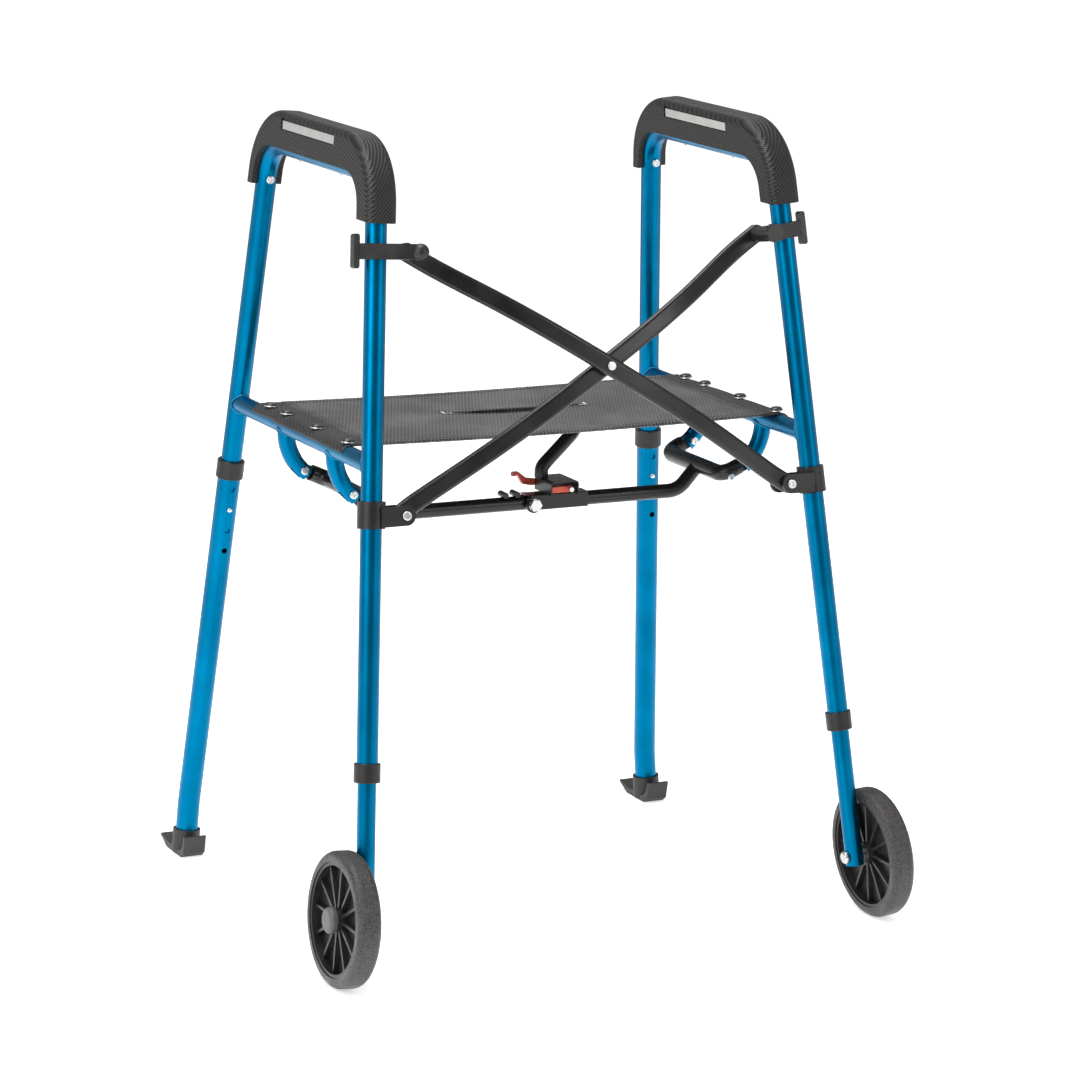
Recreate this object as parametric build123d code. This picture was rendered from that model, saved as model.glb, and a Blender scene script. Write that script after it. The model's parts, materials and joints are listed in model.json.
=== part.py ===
from build123d import *
import math
import os

# Side-folding walking frame with a sling seat.
# Millimetres.  +Z up, +X to the right, -Y towards the wheels.  Origin on the floor
# under the middle of the frame.

# Side frames -------------------------------------------------------------------
SPLAY_DEG = 4.45              # lean of each side frame, wider at the floor
FLOOR_HALF_WIDTH = 316.0      # leg plane to mid-plane, at floor level
FRONT_FOOT_Y = -276.5         # front leg axis where it would meet the floor
REAR_FOOT_Y = 277.4
FRONT_RAKE = 0.1625           # fore-and-aft travel per millimetre of height
REAR_RAKE = -0.1196
TOP_HEIGHT = 880.7            # handle tube axis, measured up the side frame
TOP_BEND_RADIUS = 46.0
TUBE_DIAMETER = 24.0
TUBE_WALL = 1.5
FRONT_TUBE_END = 226.0
REAR_TUBE_END = 401.0
RAIL_DIAMETER = 21.0
RAIL_HEIGHT = 565.7
HOLE_DIAMETER = 6.8
HOLE_PITCH = 25.4
HOLE_COUNT = 4
REAR_FIRST_HOLE = 462.9
FRONT_FIRST_HOLE = 265.0

# Legs --------------------------------------------------------------------------
EXTENSION_DIAMETER = 20.8
EXTENSION_WALL = 1.5
EXTENSION_TOP = 385.0
EXTENSION_END = 64.0
REAR_LEG_DIAMETER = 27.0
REAR_LEG_BORE = 24.2
REAR_LEG_TOP = 491.0
REAR_LEG_BEND = 62.8
REAR_LEG_END = 9.0
GLIDE_WIDTH = 28.0
GLIDE_TAIL = 49.0             # glide's rear tip behind the leg axis
BUTTON_DIAMETER = 6.4
BUTTON_STAND = 2.4            # how far a snap button stands out of its hole

# Wheels ------------------------------------------------------------------------
WHEEL_RADIUS = 76.0
WHEEL_WIDTH = 28.0
TYRE_SHOULDER = 8.0
RIM_RADIUS = 64.0
HUB_RADIUS = 13.5
WHEEL_OFFSET = 25.0           # wheel centre outboard of the leg axis
AXLE_DIAMETER = 8.0
SPOKE_COUNT = 12

# Grips -------------------------------------------------------------------------
GRIP_WIDTH = 37.0
GRIP_TOP_PAD = 40.5           # crown of the grip above the handle tube axis
GRIP_LEG_PAD = 19.5
GRIP_END_HEIGHT = 829.6
GRIP_OUTER_BEND = 83.0
GRIP_CROWN_RADIUS = 10.0
SCREW_HEIGHT = 837.0
LABEL_Y = (-50.0, 101.0)
LABEL_RISE = 25.6             # middle of the label above the handle tube axis
LABEL_HEIGHT = 9.5
RECESS_MARGIN = 1.0
RECESS_DEPTH = 2.2

# Seat --------------------------------------------------------------------------
SEAT_FRONT_Y = -124.0
SEAT_REAR_Y = 136.0
SEAT_THICKNESS = 2.4
SEAT_SAG = 7.0
SLOT_HALF_LENGTH = 90.0
SLOT_Y = 25.0
RIVET_YS = (-115.3, -26.9, 61.5, 110.9)
RIVET_HEAD_RADIUS = 7.3

# Spreader ----------------------------------------------------------------------
PIN_X = 253.2                 # hanger pin axis, runs along Y
PIN_Z = 511.7
PIN_DIAMETER = 6.0
HANGER_YS = (-81.0, 61.0)
HANGER_DIAMETER = 20.0
BAIL_X = 222.0
BAIL_Z = 498.0
BAIL_DIAMETER = 19.0
TONGUE_WIDTH = 9.0
BAIL_SCREW = (228.0, 496.6)    # x and z
ARM_DIAMETER = 17.0
ARM_Y = -18.0
ARM_CORNER_X = 196.0
HINGE_Z = 469.0
HINGE_BOLT_DIAMETER = 8.0
CHANNEL_END = 72.0
CHANNEL_GAP = 0.4
CHANNEL_WALL = 1.4
COVER_X = (18.0, 54.0)
COVER_LENGTH = 44.0
COVER_TOP = 495.5
LEVER_PIVOT = (44.0, 485.5)    # x and z
HANDLE_DIAMETER = 16.0

# Cross brace -------------------------------------------------------------------
UPPER_PIVOT = (220.0, 791.7)  # x and z of the pivots, on the plane of the front legs
LOWER_PIVOT = (241.2, 508.4)
BAR_WIDTH = 21.0
BAR_THICKNESS = 10.0
BAR_OFFSET = 6.0              # each bar stands this far off the plane of the legs
BAR_BOW = 42.0                # forward bow at the crossing
BRACE_PIN_DIAMETER = 6.0
LUG_GAP = 13.0                # inner face of each sleeve lug off the plane of the legs
LUG_THICKNESS = 3.4
LUG_RADIUS = 11.0

# Clearances --------------------------------------------------------------------
RUNNING = 0.07                # radial clearance of a shaft that turns in its bore


# Placement ---------------------------------------------------------------------
SIDE = Location((FLOOR_HALF_WIDTH, 0, 0), (0, -SPLAY_DEG, 0))
SIN_SPLAY = math.sin(math.radians(SPLAY_DEG))
COS_SPLAY = math.cos(math.radians(SPLAY_DEG))


def front_y(w):
    """Y of the front leg axis at height w up the side frame."""
    return FRONT_FOOT_Y + FRONT_RAKE * w


def rear_y(w):
    """Y of the rear leg axis at height w up the side frame."""
    return REAR_FOOT_Y + REAR_RAKE * w


def front_plane(w, v=0.0):
    """Plane square to the front leg: x outboard, y rearward, z up the leg."""
    return Plane(origin=(v, front_y(w), w), x_dir=(1, 0, 0), z_dir=(0, FRONT_RAKE, 1))


def rear_plane(w, v=0.0):
    """Plane square to the rear leg: x outboard, y rearward, z up the leg."""
    return Plane(origin=(v, rear_y(w), w), x_dir=(1, 0, 0), z_dir=(0, REAR_RAKE, 1))


def to_side(x, z):
    """Side-frame coordinates (v, w) of a world point on the right-hand side."""
    dx = x - FLOOR_HALF_WIDTH
    return dx * COS_SPLAY + z * SIN_SPLAY, z * COS_SPLAY - dx * SIN_SPLAY


RAKE_LENGTH = math.hypot(1.0, FRONT_RAKE * COS_SPLAY)
BRACE_UP = (0.0, FRONT_RAKE * COS_SPLAY / RAKE_LENGTH, 1.0 / RAKE_LENGTH)
BRACE_OUT = (0.0, -BRACE_UP[2], BRACE_UP[1])


def brace_plane(x, z):
    """Plane in the plane of the two front legs: x right, y up the legs, z forward."""
    y = FRONT_FOOT_Y + FRONT_RAKE * COS_SPLAY * z
    return Plane(origin=(x, y, z), x_dir=(1, 0, 0), z_dir=BRACE_OUT)


def along_y(radius, y0, y1, x=0.0, z=0.0):
    """Cylinder along +Y from y0 to y1."""
    return Pos(x, (y0 + y1) / 2, z) * Rot(90, 0, 0) * Cylinder(radius, y1 - y0)


def along_x(radius, x0, x1):
    """Cylinder along +X from x0 to x1."""
    return Pos((x0 + x1) / 2, 0, 0) * Rot(0, 90, 0) * Cylinder(radius, x1 - x0)


def up(radius, z0, z1, x=0.0, y=0.0):
    """Cylinder along +Z from z0 to z1."""
    return Pos(x, y, (z0 + z1) / 2) * Cylinder(radius, z1 - z0)


def block(x0, x1, y0, y1, z0, z1):
    """Box between two corners."""
    return Pos((x0 + x1) / 2, (y0 + y1) / 2, (z0 + z1) / 2) * Box(x1 - x0, y1 - y0, z1 - z0)


def rod(path, diameter):
    """Round bar swept along a path."""
    start = Plane(origin=path @ 0, z_dir=path % 0)
    return sweep(start * Circle(diameter / 2), path=path)


def pipe(path, diameter, wall):
    """Tube swept along a path."""
    return rod(path, diameter) - rod(path, diameter - 2 * wall)


def middle_y():
    """Half-way between the front of the wheels and the tails of the glides."""
    front = front_y(wheel_height()) - WHEEL_RADIUS
    rear = rear_y(REAR_LEG_BEND) + GLIDE_TAIL
    return (front + rear) / 2


def save(node, shape):
    """Write one node's STEP file, with the origin under the middle of the frame."""
    export_step(shape.moved(Location((0, -middle_y(), 0))), f"parts/{node}.step")


def save_pair(node, shape):
    """Write a right-hand shape and its mirror image."""
    save(f"{node}_right", shape)
    save(f"{node}_left", mirror(shape, about=Plane.YZ))


def on_side(shape):
    """Move a shape from side-frame coordinates to the right-hand side frame."""
    return shape.moved(SIDE)


# Side frame tubes ----------------------------------------------------------------
def frame_path():
    """Centre line of the bent tube: front leg, handle and rear leg."""
    return FilletPolyline(
        (0, front_y(FRONT_TUBE_END), FRONT_TUBE_END),
        (0, front_y(TOP_HEIGHT), TOP_HEIGHT),
        (0, rear_y(TOP_HEIGHT), TOP_HEIGHT),
        (0, rear_y(REAR_TUBE_END), REAR_TUBE_END),
        radius=TOP_BEND_RADIUS,
    )


def frame_tube():
    """Bent tube with the snap-button holes."""
    tube = pipe(frame_path(), TUBE_DIAMETER, TUBE_WALL)
    for i in range(HOLE_COUNT):
        w = FRONT_FIRST_HOLE + i * HOLE_PITCH
        tube -= front_plane(w) * along_y(HOLE_DIAMETER / 2, 4, TUBE_DIAMETER)
    w = REAR_FIRST_HOLE - HOLE_PITCH
    tube -= rear_plane(w) * along_y(HOLE_DIAMETER / 2, -TUBE_DIAMETER, -4)
    return tube


def side_rail():
    """Seat rail between the two legs, coped to them and drilled for the seat rivets."""
    y0 = front_y(RAIL_HEIGHT)
    y1 = rear_y(RAIL_HEIGHT)
    rail = along_y(RAIL_DIAMETER / 2, y0, y1, z=RAIL_HEIGHT)
    rail -= along_y(RAIL_DIAMETER / 2 - TUBE_WALL, y0, y1, z=RAIL_HEIGHT)
    rail -= rod(frame_path(), TUBE_DIAMETER)
    for y in RIVET_YS:
        rail -= up(3.0, RAIL_HEIGHT, RAIL_HEIGHT + RAIL_DIAMETER, y=y)
    return rail


def hanger(y):
    """Curved tube from the rail to its slotted end round the spreader pin."""
    v, w = to_side(PIN_X, PIN_Z)
    radius = (v * v + (RAIL_HEIGHT - 3 - w) ** 2) / (-2 * v)
    drop = RAIL_HEIGHT - 3 - w
    turn = math.degrees(math.atan2(drop, v + radius))
    bend = CenterArc((-radius, 0), radius, 0, -turn)
    path = Plane(origin=(0, y, RAIL_HEIGHT - 3), x_dir=(1, 0, 0), z_dir=(0, -1, 0)) * bend
    nose = Line(path @ 1, (path @ 1) + (path % 1) * 8.0)
    tube = rod(path, HANGER_DIAMETER) + rod(nose, HANGER_DIAMETER)
    bore = HANGER_DIAMETER - 2 * 2.0
    tube -= rod(path, bore) + rod(nose, bore)
    tip = Plane(origin=path @ 1, x_dir=(0, 1, 0), z_dir=path % 1)
    tube -= tip * block(-30, 30, -30, 30, 0, 20) - along_y(11.3, y - 20, y + 20, x=v, z=w)
    tube -= tip * block(-TONGUE_WIDTH / 2 - 0.4, TONGUE_WIDTH / 2 + 0.4, -20, 20, -13, 20)
    tube -= along_y(RAIL_DIAMETER / 2, y - 30, y + 30, z=RAIL_HEIGHT)
    tube -= along_y(PIN_DIAMETER / 2, y - 30, y + 30, x=v, z=w)
    return tube


def pan_screw(radius, height, shank_radius, shank):
    """Pan-head screw, head up, seat of the head on z = 0."""
    head = up(radius, 0, height)
    head = fillet(head.edges().sort_by(Axis.Z)[-1], height * 0.6)
    slot_a = block(-radius * 0.55, radius * 0.55, -0.5, 0.5, height - 1.0, height)
    slot_b = block(-0.5, 0.5, -radius * 0.55, radius * 0.55, height - 1.0, height)
    return head - slot_a - slot_b + up(shank_radius, -shank, 0)


def frame_screws():
    """Grip screws, the two handle rivets and the spreader pins."""
    parts = []
    radius = TUBE_DIAMETER / 2
    rear = rear_plane(SCREW_HEIGHT) * Pos(0, -radius, 0) * Rot(90, 0, 0)
    front = front_plane(SCREW_HEIGHT) * Pos(0, radius, 0) * Rot(-90, 0, 0)
    for seat in (rear, front):
        parts.append(seat * pan_screw(5.0, 2.8, 0.5, 0.0001) - rod(frame_path(), TUBE_DIAMETER))
    for y in (-34.3, 84.3):
        bump = Pos(0, y, TOP_HEIGHT - radius) * Sphere(2.6)
        parts.append(bump - rod(frame_path(), TUBE_DIAMETER))
    v, w = to_side(PIN_X, PIN_Z)
    half = HANGER_DIAMETER / 2
    for y in HANGER_YS:
        pin = along_y(PIN_DIAMETER / 2, y - half, y + half, x=v, z=w)
        head = Pos(v, y - half, w) * Rot(90, 0, 0) * pan_screw(4.9, 2.6, 0.5, 0.0001)
        nut = along_y(4.6, y + half, y + half + 3.6, x=v, z=w)
        parts.append(pin + head + nut)
    return Compound(children=parts)


def front_collar():
    """Plastic bush on the end of the front tube, round the extension."""
    collar = front_plane(233.2) * up(15.0, -10.8, 10.8)
    collar = fillet(collar.edges().filter_by(GeomType.CIRCLE), 1.2)
    collar -= front_plane(FRONT_TUBE_END) * up(TUBE_DIAMETER / 2, 0, 60)
    return collar - front_plane(233.2) * up(EXTENSION_DIAMETER / 2 + 0.1, -20, 20)


# Grips ---------------------------------------------------------------------------
def grip_face(outer, inner, radius_out, radius_in):
    """Side view of the saddle between an outer and an inner line."""
    outline = FilletPolyline(*outer, radius=radius_out)
    inside = FilletPolyline(*inner, radius=radius_in)
    ends = [Line(outline @ 1, inside @ 0), Line(inside @ 1, outline @ 0)]
    return make_face([outline, inside] + ends)


def offset_line(pad_front, pad_top, pad_rear, w_end):
    """Corners of a line standing off the tube axis by the given pads, outwards positive."""
    top = TOP_HEIGHT + pad_top
    lean_f = math.hypot(1, FRONT_RAKE)
    lean_r = math.hypot(1, REAR_RAKE)
    return [
        (0, front_y(w_end) - pad_front * lean_f, w_end),
        (0, front_y(top) - pad_front * lean_f, top),
        (0, rear_y(top) + pad_rear * lean_r, top),
        (0, rear_y(w_end) + pad_rear * lean_r, w_end),
    ]


def grip():
    """Rubber saddle over the handle, open towards the inside of the bend."""
    outer = offset_line(GRIP_LEG_PAD, GRIP_TOP_PAD, GRIP_LEG_PAD, GRIP_END_HEIGHT)
    inner = offset_line(-12.0, -2.0, -2.0, GRIP_END_HEIGHT)[::-1]
    side = grip_face(outer, inner, GRIP_OUTER_BEND, TOP_BEND_RADIUS - 6)
    body = extrude(side, GRIP_WIDTH / 2, dir=(1, 0, 0), both=True)
    crown = [e for e in body.edges() if is_crown_edge(e)]
    body = fillet(crown, GRIP_CROWN_RADIUS)
    body -= rod(frame_path(), TUBE_DIAMETER)
    channel_in = offset_line(-60.0, -60.0, -60.0, GRIP_END_HEIGHT - 5)[::-1]
    axis_line = offset_line(0, 0, 0, GRIP_END_HEIGHT - 5)
    channel = grip_face(axis_line, channel_in, TOP_BEND_RADIUS, 2.0)
    body -= extrude(channel, TUBE_DIAMETER / 2, dir=(1, 0, 0), both=True)
    low = TOP_HEIGHT + LABEL_RISE - LABEL_HEIGHT / 2 - RECESS_MARGIN
    high = low + LABEL_HEIGHT + 4 * RECESS_MARGIN
    y0 = LABEL_Y[0] - RECESS_MARGIN
    y1 = LABEL_Y[1] + RECESS_MARGIN
    floor = GRIP_WIDTH / 2 - RECESS_DEPTH
    body -= block(floor, GRIP_WIDTH, y0, y1, low, high)
    body -= block(-GRIP_WIDTH, -floor, y0, y1, low, high)
    return body


def is_crown_edge(edge):
    """True for the long outer edges on the two faces of the saddle."""
    mid = edge @ 0.5
    if abs(abs(mid.X) - GRIP_WIDTH / 2) > 0.01:
        return False
    ends = (edge @ 0, edge @ 1)
    if abs(ends[0].X - ends[1].X) > 1:
        return False
    if all(abs(p.Z - GRIP_END_HEIGHT) < 0.01 for p in ends):
        return False
    depth = min(mid.Y - front_y(mid.Z), rear_y(mid.Z) - mid.Y)
    return mid.Z > TOP_HEIGHT + 10 or depth < -6


def grip_labels():
    """Plain plates in the recesses on both faces of the grip."""
    y0, y1 = LABEL_Y
    w0 = TOP_HEIGHT + LABEL_RISE - LABEL_HEIGHT / 2
    floor = GRIP_WIDTH / 2 - RECESS_DEPTH
    plate = block(floor, floor + 1.0, y0, y1, w0, w0 + LABEL_HEIGHT)
    return Compound(children=[plate, mirror(plate, about=Plane.YZ)])


# Legs ----------------------------------------------------------------------------
def wheel_height():
    """Height of the axle up the side frame that puts the tyre on the floor."""
    hub = WHEEL_RADIUS - TYRE_SHOULDER
    inner = WHEEL_WIDTH / 2 - TYRE_SHOULDER
    lowest = hub * COS_SPLAY + inner * SIN_SPLAY + TYRE_SHOULDER
    return (lowest - WHEEL_OFFSET * SIN_SPLAY) / COS_SPLAY


def front_extension():
    """Inner leg tube with the axle hole and the snap-button hole."""
    ends = [(0, front_y(w), w) for w in (EXTENSION_END, EXTENSION_TOP)]
    tube = pipe(Line(*ends), EXTENSION_DIAMETER, EXTENSION_WALL)
    w = wheel_height()
    tube -= Pos(0, front_y(w), w) * along_x(AXLE_DIAMETER / 2, -20, 20)
    w = FRONT_FIRST_HOLE + HOLE_PITCH
    return tube - front_plane(w) * along_y(HOLE_DIAMETER / 2, 4, TUBE_DIAMETER)


def axle_set():
    """Axle bolt with its domed head, spacer and nut."""
    r = EXTENSION_DIAMETER / 2
    head = up(7.5, 0, 5.0)
    head = fillet(head.edges().sort_by(Axis.Z)[-1], 3.4)
    bolt = Pos(-r, 0, 0) * Rot(0, -90, 0) * head + along_x(AXLE_DIAMETER / 2, -r, 43.5)
    nut = Pos(38.4, 0, 0) * Rot(0, 90, 0) * extrude(RegularPolygon(7.5, 6), 4.6)
    w = wheel_height()
    lean = Rot(-math.degrees(math.atan(FRONT_RAKE)), 0, 0)
    saddle = along_x(8.5, 8, 11.6) - lean * up(r, -20, 20)
    return Pos(0, front_y(w), w) * (bolt + saddle + nut)


def rear_leg_path(w_top=REAR_LEG_TOP):
    """Centre line of the outer rear leg: raked, then upright above the glide."""
    foot = rear_y(REAR_LEG_BEND)
    return FilletPolyline(
        (0, rear_y(w_top), w_top),
        (0, foot, REAR_LEG_BEND),
        (0, foot, REAR_LEG_END),
        radius=60.0,
    )


def rear_leg():
    """Outer rear leg with its four adjusting holes."""
    tube = rod(rear_leg_path(), REAR_LEG_DIAMETER) - rod(rear_leg_path(), REAR_LEG_BORE)
    for i in range(HOLE_COUNT):
        w = REAR_FIRST_HOLE - i * HOLE_PITCH
        tube -= rear_plane(w) * along_y(HOLE_DIAMETER / 2, -30, -4)
    return tube


def rear_collar():
    """Plastic bush on top of the outer rear leg, round the frame tube."""
    plane = rear_plane(485.0)
    collar = plane * up(16.2, -11, 11)
    collar = fillet(collar.edges().filter_by(GeomType.CIRCLE), 1.2)
    collar -= rear_plane(REAR_LEG_TOP) * up(REAR_LEG_DIAMETER / 2, -60, 0)
    return collar - plane * up(REAR_LEG_BORE / 2, -20, 20)


def glide():
    """Ski glide under the rear leg, flat on the floor, in world coordinates."""
    heel = rear_y(REAR_LEG_BEND)
    outline = Polyline(
        (0, heel - 33, 28), (0, heel - 29.5, 28), (0, heel - 24, 14), (0, heel - 16, 8),
        (0, heel + 26, 8), (0, heel + GLIDE_TAIL - 2, 13), (0, heel + GLIDE_TAIL, 10), (0, heel + 26, 0),
        (0, heel - 20, 0), (0, heel - 28, 6), close=True,
    )
    x = FLOOR_HALF_WIDTH - REAR_LEG_END * SIN_SPLAY
    ski = Pos(x, 0, 0) * extrude(make_face(outline), GLIDE_WIDTH / 2, dir=(1, 0, 0), both=True)
    ski = fillet(ski.edges().filter_by(Axis.X), 0.9)
    socket = on_side(up(16.6, 4, 30, y=heel))
    bore = on_side(rod(rear_leg_path(200), REAR_LEG_DIAMETER))
    return ski + socket - bore


def snap_button(reach):
    """Domed button along +Z; reach is the top of the dome from the tube axis."""
    radius = BUTTON_DIAMETER / 2
    stem = up(radius, 4.5, reach)
    stem = fillet(stem.edges().sort_by(Axis.Z)[-1], radius * 0.8)
    return stem + up(4.6, 4.0, 5.2)


def rear_button():
    """Snap button held in the frame tube, facing forwards."""
    reach = REAR_LEG_DIAMETER / 2 + BUTTON_STAND
    return rear_plane(REAR_FIRST_HOLE - HOLE_PITCH) * Rot(90, 0, 0) * snap_button(reach)


def front_button():
    """Snap button held in the extension, facing rearwards."""
    reach = TUBE_DIAMETER / 2 + BUTTON_STAND
    return front_plane(FRONT_FIRST_HOLE + HOLE_PITCH) * Rot(-90, 0, 0) * snap_button(reach)


# Wheels --------------------------------------------------------------------------
def at_wheel(shape):
    """Put a shape built on the X axis at the wheel centre."""
    w = wheel_height()
    return on_side(Pos(WHEEL_OFFSET, front_y(w), w) * shape)


def ring(r_in, r_out, x0, x1):
    """Ring about the X axis."""
    return along_x(r_out, x0, x1) - along_x(r_in, x0 - 1, x1 + 1)


def tyre():
    """Tread with rounded shoulders."""
    half = WHEEL_WIDTH / 2
    body = along_x(WHEEL_RADIUS, -half, half)
    body = fillet(body.edges().filter_by(GeomType.CIRCLE), TYRE_SHOULDER)
    return body - along_x(RIM_RADIUS, -half - 1, half + 1)


def rim():
    """Moulded rim: hub, thin web, radial ribs and lip."""
    body = ring(60.0, RIM_RADIUS, -12.5, 12.5)
    body += ring(AXLE_DIAMETER / 2, HUB_RADIUS, -13, 13)
    body += ring(HUB_RADIUS - 0.5, 60.5, -1.4, 1.4)
    rib = block(-8, 8, -1.5, 1.5, HUB_RADIUS - 1, 60.5)
    for i in range(SPOKE_COUNT):
        body += Rot(i * 360 / SPOKE_COUNT, 0, 0) * rib
    return body - along_x(AXLE_DIAMETER / 2 + RUNNING, -20, 20)


def hub_cap():
    """Domed cap over the axle nut, on the outer side."""
    cap = along_x(15.0, 13.0, 21.5)
    cap = fillet(cap.edges().filter_by(GeomType.CIRCLE).sort_by(Axis.X)[-1], 5.0)
    return cap - along_x(11.5, 12.0, 19.6)


# Spreader ------------------------------------------------------------------------
def tongue(y):
    """Flat end of the bail round the hanger pin, in world coordinates."""
    dx = BAIL_X - PIN_X
    dz = BAIL_Z - PIN_Z
    reach = math.hypot(dx, dz)
    angle = math.degrees(math.atan2(-dz, -dx))
    shape = along_y(7.4, -TONGUE_WIDTH / 2, TONGUE_WIDTH / 2)
    shape += block(-reach + 6, 0, -TONGUE_WIDTH / 2, TONGUE_WIDTH / 2, -7.4, 7.4)
    shape = Rot(0, -angle, 0) * shape
    return Pos(PIN_X, y, PIN_Z) * shape


def spreader_arm(x_end):
    """Bail between the two hanger pins with the arm welded to it."""
    y0, y1 = HANGER_YS
    dx = BAIL_X - PIN_X
    dz = BAIL_Z - PIN_Z
    reach = math.hypot(dx, dz)
    near = (PIN_X + dx * 12.5 / reach, PIN_Z + dz * 12.5 / reach)
    path = FilletPolyline(
        (near[0], y0, near[1]), (BAIL_X, y0, BAIL_Z), (BAIL_X, y1, BAIL_Z), (near[0], y1, near[1]),
        radius=15.0,
    )
    arm_path = FilletPolyline(
        (BAIL_X, ARM_Y, BAIL_Z), (ARM_CORNER_X, ARM_Y, HINGE_Z), (x_end, ARM_Y, HINGE_Z),
        radius=28.0,
    )
    body = rod(path, BAIL_DIAMETER) + rod(arm_path, ARM_DIAMETER)
    for y in HANGER_YS:
        body += tongue(y)
    for y in HANGER_YS:
        body -= along_y(PIN_DIAMETER / 2 + RUNNING, y - 20, y + 20, x=PIN_X, z=PIN_Z)
    return body - bail_screw()


def left_arm():
    """Left arm with the rounded end that turns on the hinge bolt."""
    body = mirror(spreader_arm(0.0), about=Plane.YZ)
    half = ARM_DIAMETER / 2
    body += along_y(half - 0.1, ARM_Y - half, ARM_Y + half, z=HINGE_Z)
    body -= block(-1, 20, -60, 60, HINGE_Z - 40, HINGE_Z + 40) - along_y(half, -60, 60, z=HINGE_Z)
    return body - along_y(HINGE_BOLT_DIAMETER / 2 + RUNNING, -60, 60, z=HINGE_Z)


def hinge_channel():
    """Inverted channel on the right arm that takes the left arm's end."""
    half = ARM_DIAMETER / 2 + CHANNEL_GAP
    out = half + CHANNEL_WALL
    low = HINGE_Z - 7.6
    top = HINGE_Z + out
    body = block(0, CHANNEL_END, ARM_Y - out, ARM_Y + out, low, top)
    body = fillet(body.edges().filter_by(Axis.X).group_by(Axis.Z)[-1], 1.2)
    body += along_y(9.1, ARM_Y - out, ARM_Y + out, z=HINGE_Z)
    body += block(-6, 1, ARM_Y - out, ARM_Y + out, HINGE_Z + half, top)
    body -= block(-20, 62, ARM_Y - half, ARM_Y + half, low - 20, HINGE_Z + half)
    body -= rod(Line((50, ARM_Y, HINGE_Z), (90, ARM_Y, HINGE_Z)), ARM_DIAMETER)
    boss = along_y(9.8, ARM_Y - out - 5, ARM_Y - out, z=HINGE_Z)
    body += boss
    return body - along_y(HINGE_BOLT_DIAMETER / 2, -60, 60, z=HINGE_Z)


def bail_screw():
    """Pan screw in the bail's front corner."""
    y = HANGER_YS[0] - BAIL_DIAMETER / 2
    seat = Pos(BAIL_SCREW[0], y + 0.6, BAIL_SCREW[1])
    return seat * Rot(90, 0, 0) * pan_screw(4.2, 2.0, 2.0, 6.0)


def hinge_bolt():
    """Hex bolt and nut through the centre hinge."""
    out = ARM_DIAMETER / 2 + CHANNEL_GAP + CHANNEL_WALL
    front = ARM_Y - out - 5
    rear = ARM_Y + out
    bolt = along_y(HINGE_BOLT_DIAMETER / 2, front, rear + 8.0, z=HINGE_Z)
    bolt += along_y(7.2, front - 1.4, front, z=HINGE_Z)
    hexagon = extrude(RegularPolygon(6.5, 6, major_radius=False), 4.8)
    bolt += Pos(0, front - 1.4, HINGE_Z) * Rot(90, 0, 0) * hexagon
    nut = Pos(0, rear + 6.0, HINGE_Z) * Rot(90, 0, 0) * Pos(0, 0, 1.2) * hexagon
    return bolt + nut


def latch_cover():
    """Folded sheet cover over the latch, open at both ends."""
    x0, x1 = COVER_X
    y0 = ARM_Y - COVER_LENGTH / 2
    y1 = ARM_Y + COVER_LENGTH / 2
    base = HINGE_Z + ARM_DIAMETER / 2 + CHANNEL_GAP + CHANNEL_WALL
    body = block(x0, x1, y0, y1, base, COVER_TOP)
    body = fillet(body.edges().filter_by(Axis.Y).group_by(Axis.Z)[-1], 4.0)
    inner = block(x0 + 1.6, x1 - 1.6, y0 - 1, y1 + 1, base - 1, COVER_TOP - 1.6)
    inner = fillet(inner.edges().filter_by(Axis.Y).group_by(Axis.Z)[-1], 2.4)
    body -= inner
    return body - along_y(1.6, -60, 60, x=LEVER_PIVOT[0], z=LEVER_PIVOT[1])



def latch_lever():
    """Red release lever: block under the cover and a hooked thumb tab behind it."""
    y1 = ARM_Y + COVER_LENGTH / 2
    px, pz = LEVER_PIVOT
    body = block(22.5, 48.5, y1 - 38, y1 + 6, 481.2, 488.0)
    body = fillet(body.edges().filter_by(Axis.Y), 1.4)
    tab = Polyline(
        (30, 0, 483.0), (30, 0, 489.0), (8, 0, 492.5), (-2, 0, 500.5), (-9, 0, 500.5),
        (-10, 0, 496.0), (-7, 0, 496.0), (-4, 0, 497.5), (3, 0, 486.0), (12, 0, 484.0), close=True,
    )
    body += Pos(0, y1 + 1, 0) * extrude(make_face(tab), 6.5, dir=(0, 1, 0))
    return body - along_y(1.6 + RUNNING, -60, 60, x=px, z=pz)


def lever_pin():
    """Pin the latch lever turns on."""
    y0 = ARM_Y - COVER_LENGTH / 2
    y1 = ARM_Y + COVER_LENGTH / 2
    px, pz = LEVER_PIVOT
    shank = along_y(1.6, y0 - 1.0, y1 + 9.0, x=px, z=pz)
    return shank + along_y(2.8, y1 + 8.2, y1 + 9.4, x=px, z=pz) + along_y(2.8, y0 - 2.2, y0, x=px, z=pz)


def lift_handle():
    """Bent rod from the latch cover to a hand bar under the seat slot."""
    path = FilletPolyline(
        (22, -5, COVER_TOP), (22, -5, COVER_TOP + 11.5), (62, 0, 541.5), (86, SLOT_Y, 551),
        (-62, SLOT_Y, 551), radius=12.0,
    )
    return rod(path, HANDLE_DIAMETER)


def latch_rollers():
    """Two short rollers on top of the left arm that the latch closes over."""
    z = HINGE_Z + ARM_DIAMETER / 2 + 3.2
    rollers = [along_y(3.6, ARM_Y - 8, ARM_Y + 8, x=x, z=z) for x in (-33.0, -18.0)]
    cut = rod(Line((-60, ARM_Y, HINGE_Z), (0, ARM_Y, HINGE_Z)), ARM_DIAMETER)
    return Compound(children=[roller - cut for roller in rollers])


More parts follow.
